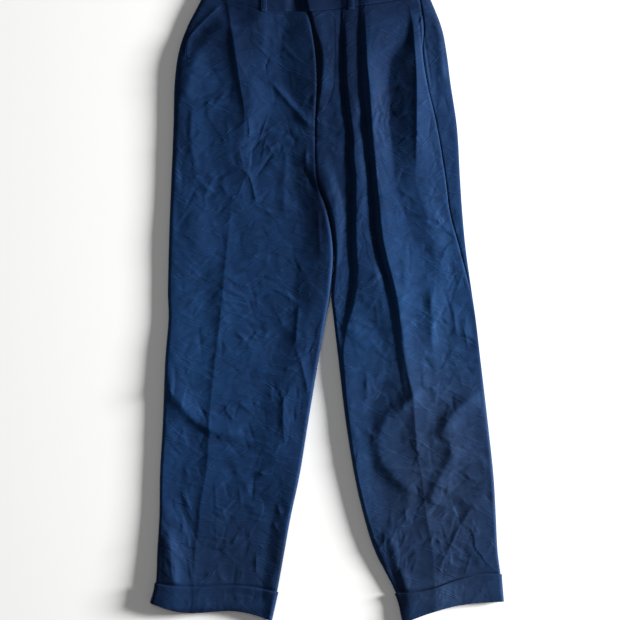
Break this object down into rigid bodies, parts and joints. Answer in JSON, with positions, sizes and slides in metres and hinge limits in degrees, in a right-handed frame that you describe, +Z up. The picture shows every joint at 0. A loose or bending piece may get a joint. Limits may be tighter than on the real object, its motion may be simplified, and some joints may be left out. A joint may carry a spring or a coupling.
{
  "type": "cuffed trousers, laid flat",
  "caption": "Pleated full-length trousers with turned-up cuffs, on-seam side pockets, a fly and belt loops, laid flat on their back.",
  "frame": {"origin": "on the floor, under the middle of the box round the laid-flat trousers", "axes": "+Y towards the waist, +X towards the wearer's left, +Z up from the floor, out of the front"},
  "size_m": [0.6027, 1.1146, 0.0181],
  "materials": {
    "front_twill": "navy cotton twill with a slight sheen, creased",
    "back_twill": "navy cotton twill with a slight sheen, creased",
    "waistband_twill": "navy cotton twill, two layers and stiffening",
    "cuff_twill": "navy cotton twill, turned up and pressed",
    "loop_twill": "navy cotton twill, folded and stitched",
    "shield_twill": "navy cotton twill, two layers",
    "pocketing": "plain thin cotton",
    "zip_metal": "dull brass teeth on cotton tape",
    "hook_metal": "plain nickel-coloured steel plate"
  },
  "bodies": {
    "root": {"front_right": "front_twill", "front_left": "front_twill", "back_right": "back_twill", "back_left": "back_twill", "waistband_right": "waistband_twill", "waistband_left": "waistband_twill", "cuff_right": "cuff_twill", "cuff_left": "cuff_twill", "fly_shield": "shield_twill", "fly_zip": "zip_metal", "waist_hook": "hook_metal", "pocket_right": "pocketing", "pocket_left": "pocketing", "belt_loop_front_right": "loop_twill", "belt_loop_front_left": "loop_twill", "belt_loop_back_right": "loop_twill", "belt_loop_back_left": "loop_twill", "belt_loop_back_centre": "loop_twill"}
  },
  "joints": []
}
